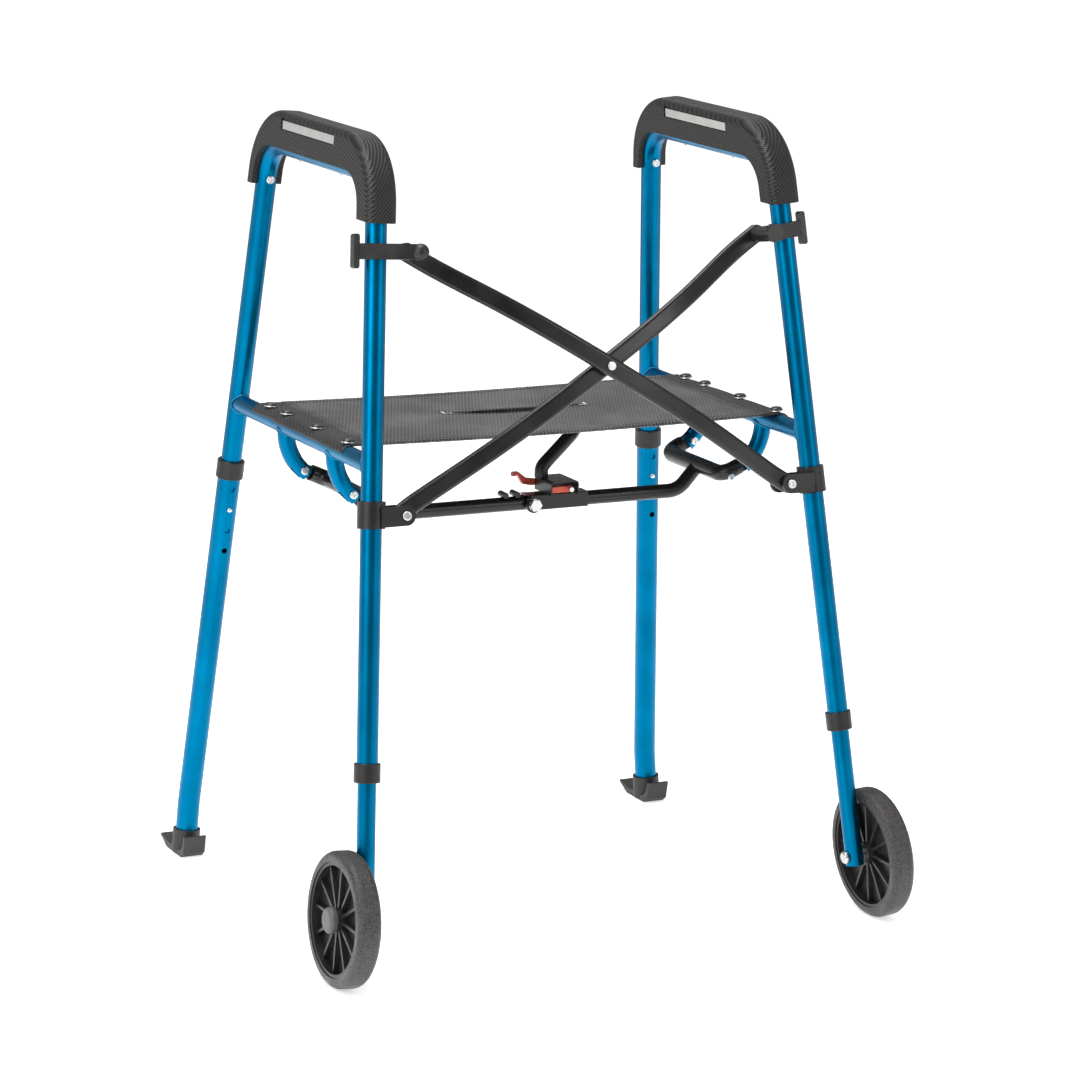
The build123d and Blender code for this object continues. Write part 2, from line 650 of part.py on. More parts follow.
# Cross brace ---------------------------------------------------------------------
def upper_clamp(barrel_start, ball):
    """Clamp round the right front leg: pivot barrel inboard, T-hook outboard."""
    x, z = UPPER_PIVOT
    v, w = to_side(x, z)
    pivot = brace_plane(x, z)
    leg = front_plane(w)
    outline = Polyline(
        (-41, 14), (-41, 38), (-28, 40), (16, 14), (22, 4), (22, -4), (0, -4), (-15, 2), (-20, 14),
        close=True,
    )
    wedge = extrude(make_face(outline), 8.6, both=True)
    body = on_side(leg * (Rot(180, 0, 0) * wedge))
    body += on_side(leg * up(15.5, -8.6, 8.6))
    plate = fillet(block(21, 28, -5, 5, -19, 19).edges().filter_by(Axis.Y), 3.0)
    body += on_side(leg * plate)
    body += pivot * up(8.5, barrel_start, 39.0)
    if ball:
        body += pivot * (Pos(0, 0, 43.5) * Sphere(9.4))
    else:
        body += pivot * up(10.2, 38.0, 44.0)
    body -= pivot * up(12.2, -30, barrel_start)
    body -= on_side(leg * up(TUBE_DIAMETER / 2, -40, 40))
    return body - pivot * up(BRACE_PIN_DIAMETER / 2, -30, barrel_start + 20)


def brace_pivot(barrel_start, bar_low):
    """Pin of an upper pivot with its spacer ring and the nut behind the bar."""
    pivot = brace_plane(*UPPER_PIVOT)
    body = up(BRACE_PIN_DIAMETER / 2, bar_low - 6.0, barrel_start + 20)
    body += up(5.6, bar_low - 4.6, bar_low - 0.4)
    return pivot * body


def lug_at(pivot, reach, low):
    """Lug with a round end on a pivot plane, from the pivot out to the leg."""
    high = low + LUG_THICKNESS
    lug = up(LUG_RADIUS, low, high) + block(0, reach - 5, -LUG_RADIUS, LUG_RADIUS, low, high)
    return pivot * lug


def sleeve_bracket():
    """Sleeve that slides on the right front leg, with two lugs for the bar end."""
    x, z = LOWER_PIVOT
    v, w = to_side(x, z)
    pivot = brace_plane(x, z)
    leg = front_plane(w)
    body = lug_at(pivot, -v, LUG_GAP) + lug_at(pivot, -v, -LUG_GAP - LUG_THICKNESS)
    body += on_side(leg * up(15.7, -15, 15))
    body -= on_side(leg * up(TUBE_DIAMETER / 2 + 0.1, -60, 60))
    body -= on_side(leg * block(-4.6, 4.6, 5, 40, -60, 60))
    return body - pivot * up(BRACE_PIN_DIAMETER / 2, -40, 40)


def bracket_screws(spacer_low, spacer_high):
    """Front and rear screws of a lower pivot with the spacer beside the bar."""
    pivot = brace_plane(*LOWER_PIVOT)
    face = LUG_GAP + LUG_THICKNESS
    front = Pos(0, 0, face) * pan_screw(5.4, 3.0, BRACE_PIN_DIAMETER / 2, LUG_THICKNESS)
    rear = up(BRACE_PIN_DIAMETER / 2, -face, -LUG_GAP) + up(5.2, -face - 4.0, -face)
    spacer = up(7.6, spacer_low, spacer_high)
    return Compound(children=[pivot * piece for piece in (front, rear, spacer)])


def bar_path(side, n0):
    """Bowed centre line of a brace bar from its upper to its lower pivot."""
    crossing = UPPER_PIVOT[0] / (UPPER_PIVOT[0] + LOWER_PIVOT[0])
    drop = (UPPER_PIVOT[1] - LOWER_PIVOT[1]) * RAKE_LENGTH
    run = UPPER_PIVOT[0] + LOWER_PIVOT[0]
    length = math.hypot(run, drop)

    def point(t, bow):
        return (side * (UPPER_PIVOT[0] - t * run), -t * drop, n0 + bow * BAR_BOW)

    tip = (BAR_WIDTH / 2 + 1) / length
    knots = [(-tip, 0), (0.045, 0.03), (0.2, 0.6), (crossing, 1.0), (0.8, 0.6), (0.955, 0.03), (1 + tip, 0)]
    heading = (-side * run / length, -drop / length, 0)
    points = [point(t, bow) for t, bow in knots]
    return Spline(*points, tangents=[heading, heading])


def brace_bar(side, n0):
    """Bowed flat-oval bar; side is +1 when its upper end is on the right."""
    frame = brace_plane(0, UPPER_PIVOT[1])
    path = bar_path(side, n0)
    start = Plane(origin=path @ 0, x_dir=(0, 0, 1), z_dir=path % 0)
    section = RectangleRounded(BAR_THICKNESS, BAR_WIDTH, BAR_THICKNESS / 2 - 0.6)
    body = sweep(start * section, path=path)
    run = side * (UPPER_PIVOT[0] + LOWER_PIVOT[0])
    drop = (UPPER_PIVOT[1] - LOWER_PIVOT[1]) * RAKE_LENGTH
    x0 = side * UPPER_PIVOT[0]
    crossing = UPPER_PIVOT[0] / (UPPER_PIVOT[0] + LOWER_PIVOT[0])
    for t, outward in ((0, 1), (1, -1)):
        end = Plane(origin=(x0 - t * run, -t * drop, 0), x_dir=(outward * run, outward * drop, 0),
                    z_dir=(0, 0, 1))
        corners = block(0, 30, -20, 20, -30, 40) - up(BAR_WIDTH / 2 + 0.4, -40, 50)
        body -= end * corners
        body -= end * up(BRACE_PIN_DIAMETER / 2 + RUNNING, -40, 60)
    body -= Pos(x0 - crossing * run, -crossing * drop, 0) * up(2.5, 20, 70)
    return frame * body


def brace_rivet(n0):
    """Rivet at the crossing, held by the front bar, with the washer behind it."""
    frame = brace_plane(0, UPPER_PIVOT[1])
    drop = (UPPER_PIVOT[1] - LOWER_PIVOT[1]) * RAKE_LENGTH
    crossing = UPPER_PIVOT[0] / (UPPER_PIVOT[0] + LOWER_PIVOT[0])
    low = n0 + BAR_BOW - BAR_THICKNESS / 2
    high = n0 + BAR_BOW + BAR_THICKNESS / 2
    head = fillet(up(5.0, high, high + 2.2).edges().sort_by(Axis.Z)[-1], 1.2)
    body = head + up(2.5, low, high) + up(6.5, low - 1.5, low)
    return frame * Pos(0, -crossing * drop, 0) * body


# Seat ----------------------------------------------------------------------------
def seat_sling():
    """Woven sling laid over the two rails, with the hand slot."""
    w = RAIL_HEIGHT + RAIL_DIAMETER / 2
    rail_x = FLOOR_HALF_WIDTH - w * SIN_SPLAY
    rail_z = w * COS_SPLAY + 0.4
    lower = ThreePointArc((-rail_x, rail_z), (0, rail_z - SEAT_SAG), (rail_x, rail_z))
    edge = 10.0
    left_edge = Line((-rail_x - edge, rail_z), (-rail_x, rail_z))
    right_edge = Line((rail_x, rail_z), (rail_x + edge, rail_z))
    upper = ThreePointArc(
        (rail_x, rail_z + SEAT_THICKNESS), (0, rail_z - SEAT_SAG + SEAT_THICKNESS),
        (-rail_x, rail_z + SEAT_THICKNESS))
    sides = [
        Line((rail_x + edge, rail_z), (rail_x + edge, rail_z + SEAT_THICKNESS)),
        Line((rail_x + edge, rail_z + SEAT_THICKNESS), (rail_x, rail_z + SEAT_THICKNESS)),
        Line((-rail_x, rail_z + SEAT_THICKNESS), (-rail_x - edge, rail_z + SEAT_THICKNESS)),
        Line((-rail_x - edge, rail_z + SEAT_THICKNESS), (-rail_x - edge, rail_z)),
    ]
    profile = make_face([left_edge, lower, right_edge, upper] + sides)
    body = extrude(Plane.XZ * profile, SEAT_REAR_Y - SEAT_FRONT_Y, dir=(0, 1, 0))
    body = Pos(0, SEAT_FRONT_Y, 0) * body
    body -= block(-SLOT_HALF_LENGTH, SLOT_HALF_LENGTH, SLOT_Y - 2.0, SLOT_Y + 2.0, 500, 640)
    for y in RIVET_YS:
        hole = on_side(up(3.4, RAIL_HEIGHT, RAIL_HEIGHT + 30, y=y))
        body -= hole
        body -= mirror(hole, about=Plane.YZ)
    return body


def seat_rivets():
    """Domed rivets that hold the sling to the rail."""
    rivets = []
    seat = RAIL_HEIGHT + RAIL_DIAMETER / 2 + 0.4 + SEAT_THICKNESS + 1.0
    for y in RIVET_YS:
        dome = up(RIVET_HEAD_RADIUS, seat, seat + 3.4, y=y)
        dome = fillet(dome.edges().sort_by(Axis.Z)[-1], 2.8)
        rivets.append(dome + up(3.0, RAIL_HEIGHT + RAIL_DIAMETER / 2 - TUBE_WALL, seat, y=y))
    return Compound(children=rivets)


def seat_bartacks():
    """White stitch bars across the two ends of the slot, as a list."""
    z = (RAIL_HEIGHT + RAIL_DIAMETER / 2) * COS_SPLAY + 0.4 + SEAT_THICKNESS - 6.2
    tacks = []
    for sign in (-1, 1):
        x = sign * (SLOT_HALF_LENGTH + 1.6)
        tacks.append(block(x - 1.0, x + 1.0, SLOT_Y - 5.5, SLOT_Y + 5.5, z, z + 0.8))
    return tacks


def main():
    """Build every node."""
    os.makedirs("parts", exist_ok=True)
    save_pair("frame_tube", on_side(frame_tube()))
    save_pair("side_rail", on_side(side_rail()))
    save_pair("hanger_tubes", on_side(Compound(children=[hanger(y) for y in HANGER_YS])))
    save_pair("frame_screws", on_side(frame_screws()))
    save_pair("front_collar", on_side(front_collar()))
    save_pair("grip", on_side(grip()))
    save_pair("grip_labels", on_side(grip_labels()))
    save_pair("front_extension", on_side(front_extension()))
    save_pair("axle_set", on_side(axle_set()))
    save_pair("rear_leg", on_side(rear_leg()))
    save_pair("rear_collar", on_side(rear_collar()))
    save_pair("glide", glide())
    save_pair("rear_button", on_side(rear_button()))
    save_pair("front_button", on_side(front_button()))
    save_pair("tyre", at_wheel(tyre()))
    save_pair("rim", at_wheel(rim()))
    save_pair("hub_cap", at_wheel(hub_cap()))
    save_pair("seat_rivets", on_side(seat_rivets()))
    save_pair("sleeve_bracket", sleeve_bracket())

    low_front = BAR_OFFSET - BAR_THICKNESS / 2
    low_rear = -BAR_OFFSET - BAR_THICKNESS / 2
    save("upper_clamp_left", mirror(upper_clamp(11.6, True), about=Plane.YZ))
    save("upper_clamp_right", upper_clamp(-0.4, False))
    save("brace_pivot_left", mirror(brace_pivot(11.6, low_front), about=Plane.YZ))
    save("brace_pivot_right", brace_pivot(-0.4, low_rear))
    save("bracket_screws_right", bracket_screws(-LUG_GAP, 0.2))
    save("bracket_screws_left", mirror(bracket_screws(1.3, LUG_GAP), about=Plane.YZ))
    front_bar = brace_bar(-1, BAR_OFFSET)
    save("brace_bar_front", front_bar)
    save("brace_rivet", brace_rivet(BAR_OFFSET) - front_bar)
    save("brace_bar_rear", brace_bar(1, -BAR_OFFSET))

    save_pair("bail_screw", bail_screw())
    save("spreader_arm_left", left_arm())
    save("spreader_arm_right", spreader_arm(62.0))
    save("hinge_channel", hinge_channel())
    save("hinge_bolt", hinge_bolt())
    save("latch_cover", latch_cover())
    save("latch_lever", latch_lever())
    save("lever_pin", lever_pin())
    save("lift_handle", lift_handle())
    save("latch_rollers", latch_rollers())

    sling = seat_sling()
    save("seat_sling", sling)
    save("seat_bartacks", Compound(children=[tack - sling for tack in seat_bartacks()]))


main()
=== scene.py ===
"""Looks of a side-folding walking frame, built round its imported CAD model."""
import json
import logging
import math
from dataclasses import dataclass, field
from enum import Enum
from typing import Callable, Iterable, Optional

import bmesh
import bpy
from mathutils import Matrix, Vector


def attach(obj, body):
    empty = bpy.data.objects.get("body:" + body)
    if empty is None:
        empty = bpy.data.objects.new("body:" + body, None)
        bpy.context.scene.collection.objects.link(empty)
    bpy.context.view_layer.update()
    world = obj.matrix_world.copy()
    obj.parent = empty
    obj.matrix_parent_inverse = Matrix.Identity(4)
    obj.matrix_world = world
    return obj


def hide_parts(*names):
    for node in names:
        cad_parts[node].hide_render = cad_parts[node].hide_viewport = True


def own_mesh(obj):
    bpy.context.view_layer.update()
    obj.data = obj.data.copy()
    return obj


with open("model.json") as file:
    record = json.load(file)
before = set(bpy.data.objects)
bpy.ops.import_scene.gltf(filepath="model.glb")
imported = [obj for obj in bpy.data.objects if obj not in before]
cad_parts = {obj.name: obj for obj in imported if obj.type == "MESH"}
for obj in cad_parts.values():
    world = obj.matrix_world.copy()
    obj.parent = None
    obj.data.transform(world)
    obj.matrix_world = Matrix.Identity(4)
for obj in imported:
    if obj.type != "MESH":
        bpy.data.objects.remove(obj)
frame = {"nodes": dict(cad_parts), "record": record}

LOG = logging.getLogger("walking_frame")
MM = 0.001
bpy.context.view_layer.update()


class Side(Enum):
    """One of the two side frames, with the sign of its X."""

    LEFT = -1
    RIGHT = 1

    @property
    def label(self) -> str:
        """The side's name as it ends a node's name."""
        return self.name.lower()


# Colour and node helpers ---------------------------------------------------------
def linear(hex_colour: str) -> tuple[float, float, float, float]:
    """Turn an sRGB hex colour into linear RGBA.

    Args:
        hex_colour: Six hex digits with a leading hash.

    Returns:
        The linear colour with an alpha of one.
    """
    channels = [int(hex_colour[i:i + 2], 16) / 255 for i in (1, 3, 5)]
    curve = [c / 12.92 if c <= 0.04045 else ((c + 0.055) / 1.055) ** 2.4 for c in channels]
    return curve[0], curve[1], curve[2], 1.0


def add_node(
    tree: bpy.types.NodeTree,
    kind: str,
    settings: Optional[dict] = None,
    values: Optional[dict] = None,
    links: Optional[dict] = None,
) -> bpy.types.Node:
    """Add one node with its settings, its socket values and what is linked into it.

    Args:
        tree: Node tree that gets the node.
        kind: Blender's node type.
        settings: Attributes set on the node.
        values: Socket values, keyed by socket name or number.
        links: Output sockets linked to the node's inputs, keyed the same way.

    Returns:
        The new node.
    """
    node = tree.nodes.new(kind)
    for name, value in (settings or {}).items():
        setattr(node, name, value)
    for key, value in (values or {}).items():
        node.inputs[key].default_value = value
    for key, socket in (links or {}).items():
        tree.links.new(socket, node.inputs[key])
    return node


def blank_material(name: str) -> tuple[bpy.types.Material, bpy.types.NodeTree]:
    """Make a material with an empty node tree.

    Args:
        name: The material's name.

    Returns:
        The material and its tree.
    """
    material = bpy.data.materials.new(name)
    material.use_nodes = True
    material.node_tree.nodes.clear()
    return material, material.node_tree


def two_tone(
    tree: bpy.types.NodeTree,
    factor: bpy.types.NodeSocket,
    dark: str,
    light: str,
    low: float = 0.35,
    high: float = 0.65,
) -> bpy.types.NodeSocket:
    """Colour ramp between two hex colours.

    Args:
        tree: Node tree that gets the ramp.
        factor: Socket the ramp reads.
        dark: Hex colour below the low stop.
        light: Hex colour above the high stop.
        low: Place of the low stop.
        high: Place of the high stop.

    Returns:
        The ramp's colour socket.
    """
    ramp = add_node(tree, "ShaderNodeValToRGB", links={0: factor})
    ramp.color_ramp.elements[0].position = low
    ramp.color_ramp.elements[0].color = linear(dark)
    ramp.color_ramp.elements[1].position = high
    ramp.color_ramp.elements[1].color = linear(light)
    return ramp.outputs[0]


def finish_shader(
    tree: bpy.types.NodeTree,
    values: dict,
    links: dict,
) -> None:
    """Add the surface shader and the output.

    Args:
        tree: Node tree to close.
        values: Values set on the shader's own sockets.
        links: Sockets linked into the shader.
    """
    shader = add_node(tree, "ShaderNodeBsdfPrincipled", values=values, links=links)
    add_node(tree, "ShaderNodeOutputMaterial", links={"Surface": shader.outputs[0]})


def object_coords(
    tree: bpy.types.NodeTree,
    scale: tuple[float, float, float] = (1.0, 1.0, 1.0),
    rotation: tuple[float, float, float] = (0.0, 0.0, 0.0),
) -> bpy.types.NodeSocket:
    """Object coordinates, scaled and turned.

    Args:
        tree: Node tree that gets the nodes.
        scale: Scale of each axis.
        rotation: Turn about each axis, in radians.

    Returns:
        The vector socket.
    """
    coords = add_node(tree, "ShaderNodeTexCoord")
    mapping = add_node(
        tree, "ShaderNodeMapping",
        values={"Scale": scale, "Rotation": rotation},
        links={"Vector": coords.outputs["Object"]},
    )
    return mapping.outputs[0]


def per_metre(millimetres: float) -> float:
    """Pattern scale that repeats once in the given number of millimetres."""
    return 1.0 / (millimetres * MM)


# Finishes ------------------------------------------------------------------------
@dataclass(frozen=True)
class AnodisedAluminium:
    """Drawn tube, etched and dyed blue: satin metal with faint draw lines."""

    name: str = "anodised_aluminium_drawn_blue"
    dark: str = "#00668F"
    light: str = "#00709C"
    roughness: float = 0.34
    line_mm: float = 2.2
    line_stretch: float = 60.0
    cloud_mm: float = 45.0

    def build(self) -> bpy.types.Material:
        """Satin blue metal whose reflections are streaked along the tube."""
        material, tree = blank_material(self.name)
        cloud = add_node(
            tree, "ShaderNodeTexNoise",
            values={"Scale": per_metre(self.cloud_mm), "Detail": 3.0},
            links={"Vector": object_coords(tree)},
        )
        fine = per_metre(self.line_mm)
        lines = add_node(
            tree, "ShaderNodeTexNoise",
            values={"Scale": 1.0, "Detail": 1.0},
            links={"Vector": object_coords(tree, (fine, fine, fine / self.line_stretch))},
        )
        rough = add_node(
            tree, "ShaderNodeMapRange",
            values={"From Min": 0.3, "From Max": 0.7, "To Min": self.roughness - 0.01,
                    "To Max": self.roughness + 0.015},
            links={"Value": lines.outputs[0]},
        )
        bump = add_node(
            tree, "ShaderNodeBump",
            values={"Strength": 0.02, "Distance": 0.00002},
            links={"Height": lines.outputs[0]},
        )
        finish_shader(
            tree,
            {"Metallic": 1.0},
            {"Base Color": two_tone(tree, cloud.outputs[0], self.dark, self.light),
             "Roughness": rough.outputs[0], "Normal": bump.outputs[0]},
        )
        return material


@dataclass(frozen=True)
class GrainedPolymer:
    """Moulded or coated surface: two close tones and a fine cloudy grain."""

    name: str
    dark: str
    light: str
    roughness: float
    grain_mm: float
    depth_mm: float
    strength: float = 0.5
    coat: float = 0.0
    coat_roughness: float = 0.2
    spread: float = 0.06
    speckle: float = 0.0
    shine: float = 0.5
    cloud_mm: float = 28.0

    def build(self) -> bpy.types.Material:
        """Grain in the bump, clouds in the gloss, and a blend of the two in the colour."""
        material, tree = blank_material(self.name)
        coords = object_coords(tree)
        grain = add_node(
            tree, "ShaderNodeTexNoise",
            values={"Scale": per_metre(self.grain_mm), "Detail": 3.0, "Roughness": 0.6},
            links={"Vector": coords},
        )
        cloud = add_node(
            tree, "ShaderNodeTexNoise",
            values={"Scale": per_metre(self.cloud_mm), "Detail": 4.0},
            links={"Vector": coords},
        )
        rough = add_node(
            tree, "ShaderNodeMapRange",
            values={"From Min": 0.35, "From Max": 0.65, "To Min": self.roughness - self.spread,
                    "To Max": self.roughness + self.spread},
            links={"Value": cloud.outputs[0]},
        )
        bump = add_node(
            tree, "ShaderNodeBump",
            values={"Strength": self.strength, "Distance": self.depth_mm * MM},
            links={"Height": grain.outputs[0]},
        )
        tone = add_node(
            tree, "ShaderNodeMix", settings={"data_type": "FLOAT"}, values={0: self.speckle},
            links={2: cloud.outputs[0], 3: grain.outputs[0]},
        )
        finish_shader(
            tree,
            {"Coat Weight": self.coat, "Coat Roughness": self.coat_roughness,
             "Specular IOR Level": self.shine},
            {"Base Color": two_tone(tree, tone.outputs[0], self.dark, self.light),
             "Roughness": rough.outputs[0], "Normal": bump.outputs[0]},
        )
        return material


@dataclass(frozen=True)
class DiamondRubber:
    """Moulded rubber with a diamond grip pattern all over, drawn coarser than the real one to show."""

    name: str = "moulded_rubber_diamond_grip"
    # dark is painted shade for the valleys of the pattern, light a painted highlight for its tips.
    dark: str = "#0B0A0A"
    light: str = "#35322F"
    pitch_mm: float = 3.5
    depth_mm: float = 0.7
    roughness: float = 0.36
    courses: tuple[tuple[float, float, float], ...] = ((0.8, 1.2, 0.8), (-0.8, -0.3, 0.8))

    def ridges(
        self, tree: bpy.types.NodeTree, course: tuple[float, float, float],
    ) -> bpy.types.NodeSocket:
        """Rounded ridges square to one direction.

        Args:
            tree: Node tree that gets the nodes.
            course: Direction the ridges repeat along; its length makes them finer.

        Returns:
            A height from -1 to 1.
        """
        turn = 2 * math.pi * per_metre(self.pitch_mm)
        along = add_node(
            tree, "ShaderNodeVectorMath", settings={"operation": "DOT_PRODUCT"},
            values={1: tuple(turn * share for share in course)},
            links={0: object_coords(tree)},
        )
        wave = add_node(
            tree, "ShaderNodeMath", settings={"operation": "SINE"},
            links={0: along.outputs["Value"]},
        )
        return wave.outputs[0]

    def build(self) -> bpy.types.Material:
        """Two slanted sets of ridges, which cross in small points on every face; the colour follows their
        height, with a painted highlight on the tips and painted shade in the valleys.
        """
        material, tree = blank_material(self.name)
        pair = add_node(
            tree, "ShaderNodeMath", settings={"operation": "ADD"},
            links={0: self.ridges(tree, self.courses[0]), 1: self.ridges(tree, self.courses[1])},
        )
        cross = add_node(
            tree, "ShaderNodeMath", settings={"operation": "MULTIPLY_ADD"},
            values={1: 0.25, 2: 0.5}, links={0: pair.outputs[0]},
        )
        bump = add_node(
            tree, "ShaderNodeBump",
            values={"Strength": 1.0, "Distance": self.depth_mm * MM},
            links={"Height": cross.outputs[0]},
        )
        # Colour from the ridge height: painted highlight on the ridge tips, painted shade in the valleys.
        finish_shader(
            tree,
            {"Roughness": self.roughness, "Specular IOR Level": 0.35},
            {"Base Color": two_tone(tree, cross.outputs[0], self.dark, self.light, 0.35, 0.9),
             "Normal": bump.outputs[0]},
        )
        return material


@dataclass(frozen=True)
class WovenMesh:
    """Coated polyester yarn woven on the bias: dark cloth with a fine slanted twill."""

    name: str = "woven_polyester_mesh"
    dark: str = "#080808"
    light: str = "#565351"
    thread_mm: float = 4.0
    depth_mm: float = 0.6
    roughness: float = 0.55
    sheen: float = 0.12
    slants_deg: tuple[float, float] = (24.0, -40.0)
    wander: float = 20.0
    cloud_mm: float = 60.0

    def yarn(self, tree: bpy.types.NodeTree, turn: float) -> bpy.types.NodeSocket:
        """Parallel yarns, drawn about twice as coarse as the real ones so that they show.

        Args:
            tree: Node tree that gets the nodes.
            turn: Slant of the yarns in the cloth, in radians.

        Returns:
            A height from 0 to 1.
        """
        wave = add_node(
            tree, "ShaderNodeTexWave",
            settings={"wave_type": "BANDS", "bands_direction": "X", "wave_profile": "SIN"},
            values={"Scale": per_metre(self.thread_mm) / self.wander, "Distortion": 0.6,
                    "Detail": 2.0, "Detail Scale": 2.0},
            links={"Vector": object_coords(tree, (self.wander / math.pi,) * 3, (0.0, 0.0, turn))},
        )
        return wave.outputs["Fac"]

    def build(self) -> bpy.types.Material:
        """Slanted yarns over finer cross yarns, with a soft dusty sheen."""
        material, tree = blank_material(self.name)
        weave = add_node(
            tree, "ShaderNodeMath", settings={"operation": "MULTIPLY"},
            links={i: self.yarn(tree, math.radians(slant)) for i, slant in enumerate(self.slants_deg)},
        )
        cloud = add_node(
            tree, "ShaderNodeTexNoise",
            values={"Scale": per_metre(self.cloud_mm), "Detail": 4.0},
            links={"Vector": object_coords(tree)},
        )
        tone = add_node(
            tree, "ShaderNodeMath", settings={"operation": "MULTIPLY_ADD"},
            values={1: 0.75}, links={0: weave.outputs[0], 2: cloud.outputs[0]},
        )
        bump = add_node(
            tree, "ShaderNodeBump",
            values={"Strength": 0.9, "Distance": self.depth_mm * MM},
            links={"Height": weave.outputs[0]},
        )
        finish_shader(
            tree,
            {"Roughness": self.roughness, "Sheen Weight": self.sheen, "Sheen Roughness": 0.5},
            {"Base Color": two_tone(tree, tone.outputs[0], self.dark, self.light, 0.4, 1.1),
             "Normal": bump.outputs[0]},
        )
        return material


@dataclass(frozen=True)
class PlatedSteel:
    """Zinc or satin metal, barrel plated: bright with soft mottled gloss."""

    name: str = "zinc_plated_steel"
    dark: str = "#B4B6B8"
    light: str = "#E2E3E4"
    roughness: float = 0.26
    grain_mm: float = 0.8
    spread: float = 0.06

    def build(self) -> bpy.types.Material:
        """Bright metal with a mottle in tone and gloss."""
        material, tree = blank_material(self.name)
        mottle = add_node(
            tree, "ShaderNodeTexNoise",
            values={"Scale": per_metre(self.grain_mm), "Detail": 2.0},
            links={"Vector": object_coords(tree)},
        )
        rough = add_node(
            tree, "ShaderNodeMapRange",
            values={"From Min": 0.3, "From Max": 0.7, "To Min": self.roughness - self.spread,
                    "To Max": self.roughness + self.spread},
            links={"Value": mottle.outputs[0]},
        )
        finish_shader(
            tree,
            {"Metallic": 1.0},
            {"Base Color": two_tone(tree, mottle.outputs[0], self.dark, self.light),
             "Roughness": rough.outputs[0]},
        )
        return material


# Every finish, by the record's material slot.
FINISHES: dict[str, object] = {
    "blue_anodised_aluminium": AnodisedAluminium(),
    # Satin epoxy powder: slight orange peel, a warm grey bloom where it faces the light.
    "black_powder_coat": GrainedPolymer(
        "epoxy_powder_coat_satin_black", "#100F0E", "#191716", 0.3, 1.1, 0.02, 0.25, coat=0.2,
        coat_roughness=0.14, shine=0.3),
    # Moulded nylon: even, slightly greasy gloss.
    "black_plastic": GrainedPolymer(
        "moulded_nylon_black", "#161515", "#201F1E", 0.36, 0.7, 0.03, 0.4, shine=0.4),
    "grip_rubber": DiamondRubber(),
    "label_plate": PlatedSteel("satin_aluminium_plate", "#C6C7C5", "#D2D2CF", 0.34, 20.0),
    "zinc_plated_steel": PlatedSteel(),
    # Japanned rivet heads: near-black with a sharp highlight.
    "black_rivets": GrainedPolymer(
        "japanned_rivet_head", "#171717", "#222222", 0.2, 1.2, 0.01, 0.2, coat=0.4),
    # Glide rubber: dull, slightly scuffed.
    "glide_rubber": GrainedPolymer(
        "moulded_glide_rubber", "#232222", "#2F2E2D", 0.55, 0.9, 0.06, 0.5),
    # Tyre: coarse sparkling grain, grey with dust.
    "tyre_rubber": GrainedPolymer(
        "moulded_tyre_rubber_grained", "#121111", "#4A4745", 0.42, 2.0, 0.9, 1.0, spread=0.12,
        speckle=0.85),
    "rim_plastic": GrainedPolymer(
        "moulded_nylon_rim", "#1F1F1F", "#2B2A2A", 0.4, 0.8, 0.03, 0.4),
    "cap_plastic": GrainedPolymer(
        "moulded_cap_grey", "#4C4B49", "#5B5A58", 0.45, 0.7, 0.03, 0.4),
    # Glass-filled nylon lever: saturated orange red, soft gloss.
    "red_plastic": GrainedPolymer(
        "moulded_nylon_red", "#B8402C", "#CB5238", 0.4, 0.9, 0.03, 0.4),
    "sling_fabric": WovenMesh(),
    # The doubled bands over the rails, coloured darker than the sling as painted shade where they wrap
    # over the rails and down their outer sides.
    "doubled_sling_fabric_painted_shade": WovenMesh(
        "woven_polyester_mesh_doubled_painted_shade", "#050505", "#302E2D", roughness=0.42, sheen=0.04),
    "white_thread": GrainedPolymer(
        "spun_polyester_thread_white", "#D2D0CA", "#ECEAE6", 0.7, 0.5, 0.1, 0.8),
    "black_thread": GrainedPolymer(
        "spun_polyester_thread_black", "#2B2A2A", "#3C3A39", 0.6, 0.5, 0.1, 0.8),
    # Bright weld: rippled bead dyed with the tube.
    "weld_blue": AnodisedAluminium("anodised_weld_bead", "#0A6088", "#2A84AC", 0.34, 0.8, 1.0),
}


class Wardrobe:
    """Builds each finish once and hands it out by slot."""

    def __init__(self) -> None:
        """Start with nothing built."""
        self.built: dict[str, bpy.types.Material] = {}

    def get(self, slot: str) -> bpy.types.Material:
        """The finish of a slot, built on first use."""
        if slot not in self.built:
            self.built[slot] = FINISHES[slot].build()
        return self.built[slot]

    def dress_cad(self) -> None:
        """Give every CAD node the finish of its slot in the record."""
        for part in frame["record"]["subparts"]:
            node = frame["nodes"][part["node"]]
            node.data.materials.clear()
            node.data.materials.append(self.get(part["material_slot"]))
            LOG.info("dressed %s", part["node"])


# Mesh helpers --------------------------------------------------------------------
@dataclass(frozen=True)
class Stance:
    """Where the tubes of a side frame stand, in metres."""

    splay: float = math.radians(4.45)
    half_width: float = 0.316
    middle: float = 0.010749
    front_foot: float = -0.2765
    front_rake: float = 0.1625
    rear_foot: float = 0.2774
    rear_rake: float = -0.1196
    rail_height: float = 0.5657
    rail_radius: float = 0.0105
    tube_radius: float = 0.012

    def matrix(self, side: Side) -> Matrix:
        """Turn side-frame coordinates (outboard, rearward, up) into the frame's."""
        flip = Matrix.Diagonal((side.value, 1.0, 1.0, 1.0))
        move = Matrix.Translation((self.half_width, self.middle, 0.0))
        return flip @ move @ Matrix.Rotation(-self.splay, 4, "Y")

    def leg_y(self, front: bool, height: float) -> float:
        """Rearward place of a leg's axis at a height up the side frame."""
        if front:
            return self.front_foot + self.front_rake * height
        return self.rear_foot + self.rear_rake * height

    def rail_top(self) -> Vector:
        """Top line of the right seat rail, as world x and z."""
        return self.matrix(Side.RIGHT) @ Vector((0, 0, self.rail_height + self.rail_radius))


STANCE = Stance()


